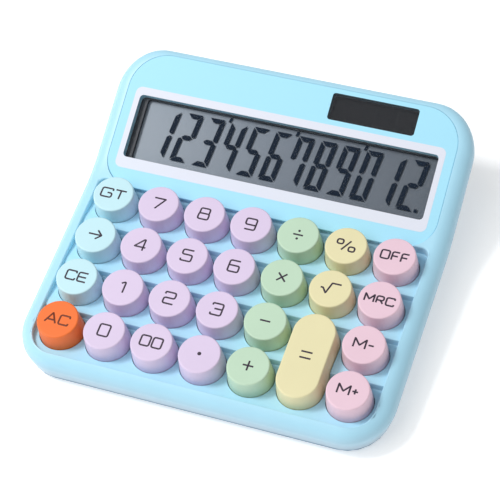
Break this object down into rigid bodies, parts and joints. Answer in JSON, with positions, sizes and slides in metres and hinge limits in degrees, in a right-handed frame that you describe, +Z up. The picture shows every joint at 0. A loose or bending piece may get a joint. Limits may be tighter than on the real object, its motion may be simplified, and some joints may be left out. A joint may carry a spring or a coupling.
{
  "type": "desk calculator",
  "caption": "Wedge-shaped desk calculator with a tilted display, round coloured keys that press down, a solar window and a sliding battery door.",
  "frame": {"origin": "on the desk under the middle of the case", "axes": "+X to the user's right, +Y to the back, +Z up from the desk"},
  "size_m": [0.148, 0.139, 0.0405],
  "materials": {
    "case_plastic": "pale sky-blue ABS, fine satin",
    "key_cyan": "pale cyan, satin",
    "key_lilac": "pale lilac, satin",
    "key_green": "pale green, satin",
    "key_yellow": "pale yellow, satin",
    "key_pink": "pale pink, satin",
    "key_orange": "orange, satin",
    "printed_plate": "smooth acrylic plate, printed on the back",
    "lcd_glass": "grey liquid-crystal panel under glass",
    "holder_plastic": "white plastic",
    "ribbon_film": "amber film with printed tracks",
    "solar_glass": "near-black solar glass",
    "lead_red": "red insulation",
    "lead_black": "black insulation",
    "circuit_board": "green solder mask",
    "chip_resin": "black epoxy blob",
    "mat_silicone": "milky silicone",
    "cell_sleeve": "dark sleeve with a plain gold band",
    "plated_steel": "nickel-plated",
    "foot_rubber": "black rubber"
  },
  "bodies": {
    "case": {"top_case": "case_plastic", "bottom_case": "case_plastic", "display_plate": "printed_plate", "lcd_panel": "lcd_glass", "lcd_holder": "holder_plastic", "lcd_ribbon": "ribbon_film", "solar_cell": "solar_glass", "solar_lead_positive": "lead_red", "solar_lead_negative": "lead_black", "main_board": "circuit_board", "controller_chip": "chip_resin", "rubber_dome_mat": "mat_silicone", "battery_cell": "cell_sleeve", "battery_contact_positive": "plated_steel", "battery_contact_negative": "plated_steel", "battery_lead_positive": "lead_red", "battery_lead_negative": "lead_black", "foot_front_left": "foot_rubber", "foot_front_right": "foot_rubber", "foot_rear_left": "foot_rubber", "foot_rear_right": "foot_rubber", "case_screw_1": "plated_steel", "case_screw_2": "plated_steel", "case_screw_3": "plated_steel", "case_screw_4": "plated_steel", "case_screw_5": "plated_steel", "case_screw_6": "plated_steel"},
    "door": {"battery_door": "case_plastic"},
    "button_gt": {"key_gt": "key_cyan"},
    "button_7": {"key_7": "key_lilac"},
    "button_8": {"key_8": "key_lilac"},
    "button_9": {"key_9": "key_lilac"},
    "button_divide": {"key_divide": "key_green"},
    "button_percent": {"key_percent": "key_yellow"},
    "button_off": {"key_off": "key_pink"},
    "button_shift": {"key_shift": "key_cyan"},
    "button_4": {"key_4": "key_lilac"},
    "button_5": {"key_5": "key_lilac"},
    "button_6": {"key_6": "key_lilac"},
    "button_multiply": {"key_multiply": "key_green"},
    "button_root": {"key_root": "key_yellow"},
    "button_mrc": {"key_mrc": "key_pink"},
    "button_ce": {"key_ce": "key_cyan"},
    "button_1": {"key_1": "key_lilac"},
    "button_2": {"key_2": "key_lilac"},
    "button_3": {"key_3": "key_lilac"},
    "button_minus": {"key_minus": "key_green"},
    "button_m_minus": {"key_m_minus": "key_pink"},
    "button_ac": {"key_ac": "key_orange"},
    "button_0": {"key_0": "key_lilac"},
    "button_00": {"key_00": "key_lilac"},
    "button_point": {"key_point": "key_lilac"},
    "button_plus": {"key_plus": "key_green"},
    "button_equals": {"key_equals": "key_yellow"},
    "button_m_plus": {"key_m_plus": "key_pink"}
  },
  "joints": [
    {"name": "door_slide", "type": "slide", "parent": "case", "child": "door", "axis": [0, 1, 0], "range_m": [0, 0.024]},
    {"name": "press_gt", "type": "slide", "parent": "case", "child": "button_gt", "axis": [0, 0.0698, -0.9976], "range_m": [0, 0.002], "stiffness_N_per_m": 300, "springref_m": -0.001, "deforming": ["rubber_dome_mat"]},
    {"name": "press_7", "type": "slide", "parent": "case", "child": "button_7", "axis": [0, 0.0698, -0.9976], "range_m": [0, 0.002], "stiffness_N_per_m": 300, "springref_m": -0.001, "deforming": ["rubber_dome_mat"]},
    {"name": "press_8", "type": "slide", "parent": "case", "child": "button_8", "axis": [0, 0.0698, -0.9976], "range_m": [0, 0.002], "stiffness_N_per_m": 300, "springref_m": -0.001, "deforming": ["rubber_dome_mat"]},
    {"name": "press_9", "type": "slide", "parent": "case", "child": "button_9", "axis": [0, 0.0698, -0.9976], "range_m": [0, 0.002], "stiffness_N_per_m": 300, "springref_m": -0.001, "deforming": ["rubber_dome_mat"]},
    {"name": "press_divide", "type": "slide", "parent": "case", "child": "button_divide", "axis": [0, 0.0698, -0.9976], "range_m": [0, 0.002], "stiffness_N_per_m": 300, "springref_m": -0.001, "deforming": ["rubber_dome_mat"]},
    {"name": "press_percent", "type": "slide", "parent": "case", "child": "button_percent", "axis": [0, 0.0698, -0.9976], "range_m": [0, 0.002], "stiffness_N_per_m": 300, "springref_m": -0.001, "deforming": ["rubber_dome_mat"]},
    {"name": "press_off", "type": "slide", "parent": "case", "child": "button_off", "axis": [0, 0.0698, -0.9976], "range_m": [0, 0.002], "stiffness_N_per_m": 300, "springref_m": -0.001, "deforming": ["rubber_dome_mat"]},
    {"name": "press_shift", "type": "slide", "parent": "case", "child": "button_shift", "axis": [0, 0.0698, -0.9976], "range_m": [0, 0.002], "stiffness_N_per_m": 300, "springref_m": -0.001, "deforming": ["rubber_dome_mat"]},
    {"name": "press_4", "type": "slide", "parent": "case", "child": "button_4", "axis": [0, 0.0698, -0.9976], "range_m": [0, 0.002], "stiffness_N_per_m": 300, "springref_m": -0.001, "deforming": ["rubber_dome_mat"]},
    {"name": "press_5", "type": "slide", "parent": "case", "child": "button_5", "axis": [0, 0.0698, -0.9976], "range_m": [0, 0.002], "stiffness_N_per_m": 300, "springref_m": -0.001, "deforming": ["rubber_dome_mat"]},
    {"name": "press_6", "type": "slide", "parent": "case", "child": "button_6", "axis": [0, 0.0698, -0.9976], "range_m": [0, 0.002], "stiffness_N_per_m": 300, "springref_m": -0.001, "deforming": ["rubber_dome_mat"]},
    {"name": "press_multiply", "type": "slide", "parent": "case", "child": "button_multiply", "axis": [0, 0.0698, -0.9976], "range_m": [0, 0.002], "stiffness_N_per_m": 300, "springref_m": -0.001, "deforming": ["rubber_dome_mat"]},
    {"name": "press_root", "type": "slide", "parent": "case", "child": "button_root", "axis": [0, 0.0698, -0.9976], "range_m": [0, 0.002], "stiffness_N_per_m": 300, "springref_m": -0.001, "deforming": ["rubber_dome_mat"]},
    {"name": "press_mrc", "type": "slide", "parent": "case", "child": "button_mrc", "axis": [0, 0.0698, -0.9976], "range_m": [0, 0.002], "stiffness_N_per_m": 300, "springref_m": -0.001, "deforming": ["rubber_dome_mat"]},
    {"name": "press_ce", "type": "slide", "parent": "case", "child": "button_ce", "axis": [0, 0.0698, -0.9976], "range_m": [0, 0.002], "stiffness_N_per_m": 300, "springref_m": -0.001, "deforming": ["rubber_dome_mat"]},
    {"name": "press_1", "type": "slide", "parent": "case", "child": "button_1", "axis": [0, 0.0698, -0.9976], "range_m": [0, 0.002], "stiffness_N_per_m": 300, "springref_m": -0.001, "deforming": ["rubber_dome_mat"]},
    {"name": "press_2", "type": "slide", "parent": "case", "child": "button_2", "axis": [0, 0.0698, -0.9976], "range_m": [0, 0.002], "stiffness_N_per_m": 300, "springref_m": -0.001, "deforming": ["rubber_dome_mat"]},
    {"name": "press_3", "type": "slide", "parent": "case", "child": "button_3", "axis": [0, 0.0698, -0.9976], "range_m": [0, 0.002], "stiffness_N_per_m": 300, "springref_m": -0.001, "deforming": ["rubber_dome_mat"]},
    {"name": "press_minus", "type": "slide", "parent": "case", "child": "button_minus", "axis": [0, 0.0698, -0.9976], "range_m": [0, 0.002], "stiffness_N_per_m": 300, "springref_m": -0.001, "deforming": ["rubber_dome_mat"]},
    {"name": "press_m_minus", "type": "slide", "parent": "case", "child": "button_m_minus", "axis": [0, 0.0698, -0.9976], "range_m": [0, 0.002], "stiffness_N_per_m": 300, "springref_m": -0.001, "deforming": ["rubber_dome_mat"]},
    {"name": "press_ac", "type": "slide", "parent": "case", "child": "button_ac", "axis": [0, 0.0698, -0.9976], "range_m": [0, 0.002], "stiffness_N_per_m": 300, "springref_m": -0.001, "deforming": ["rubber_dome_mat"]},
    {"name": "press_0", "type": "slide", "parent": "case", "child": "button_0", "axis": [0, 0.0698, -0.9976], "range_m": [0, 0.002], "stiffness_N_per_m": 300, "springref_m": -0.001, "deforming": ["rubber_dome_mat"]},
    {"name": "press_00", "type": "slide", "parent": "case", "child": "button_00", "axis": [0, 0.0698, -0.9976], "range_m": [0, 0.002], "stiffness_N_per_m": 300, "springref_m": -0.001, "deforming": ["rubber_dome_mat"]},
    {"name": "press_point", "type": "slide", "parent": "case", "child": "button_point", "axis": [0, 0.0698, -0.9976], "range_m": [0, 0.002], "stiffness_N_per_m": 300, "springref_m": -0.001, "deforming": ["rubber_dome_mat"]},
    {"name": "press_plus", "type": "slide", "parent": "case", "child": "button_plus", "axis": [0, 0.0698, -0.9976], "range_m": [0, 0.002], "stiffness_N_per_m": 300, "springref_m": -0.001, "deforming": ["rubber_dome_mat"]},
    {"name": "press_equals", "type": "slide", "parent": "case", "child": "button_equals", "axis": [0, 0.0698, -0.9976], "range_m": [0, 0.002], "stiffness_N_per_m": 300, "springref_m": -0.001, "deforming": ["rubber_dome_mat"]},
    {"name": "press_m_plus", "type": "slide", "parent": "case", "child": "button_m_plus", "axis": [0, 0.0698, -0.9976], "range_m": [0, 0.002], "stiffness_N_per_m": 300, "springref_m": -0.001, "deforming": ["rubber_dome_mat"]}
  ]
}
